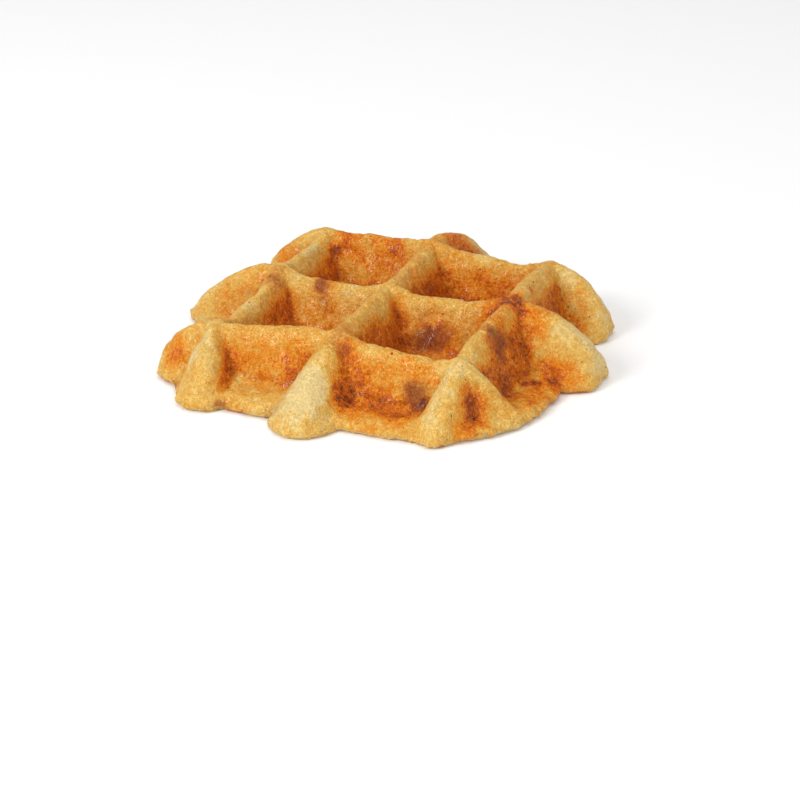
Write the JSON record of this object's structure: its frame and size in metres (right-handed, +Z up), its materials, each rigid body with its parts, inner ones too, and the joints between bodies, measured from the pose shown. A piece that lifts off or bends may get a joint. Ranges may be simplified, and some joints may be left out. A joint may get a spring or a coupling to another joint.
{
  "type": "waffle",
  "caption": "Round deep-pocket waffle with crossed ridges on its upper side, a lobed edge and a flat underside.",
  "frame": {"origin": "centre of the waffle's bounding box, on the flat underside that it rests on", "axes": "+Z up, the shortest extent; +X and +Y along the two sets of ridges"},
  "size_m": [0.1012, 0.1008, 0.0182],
  "materials": {
    "crust": "baked crust, slightly glossy"
  },
  "bodies": {
    "root": {"waffle": "crust"}
  },
  "joints": []
}
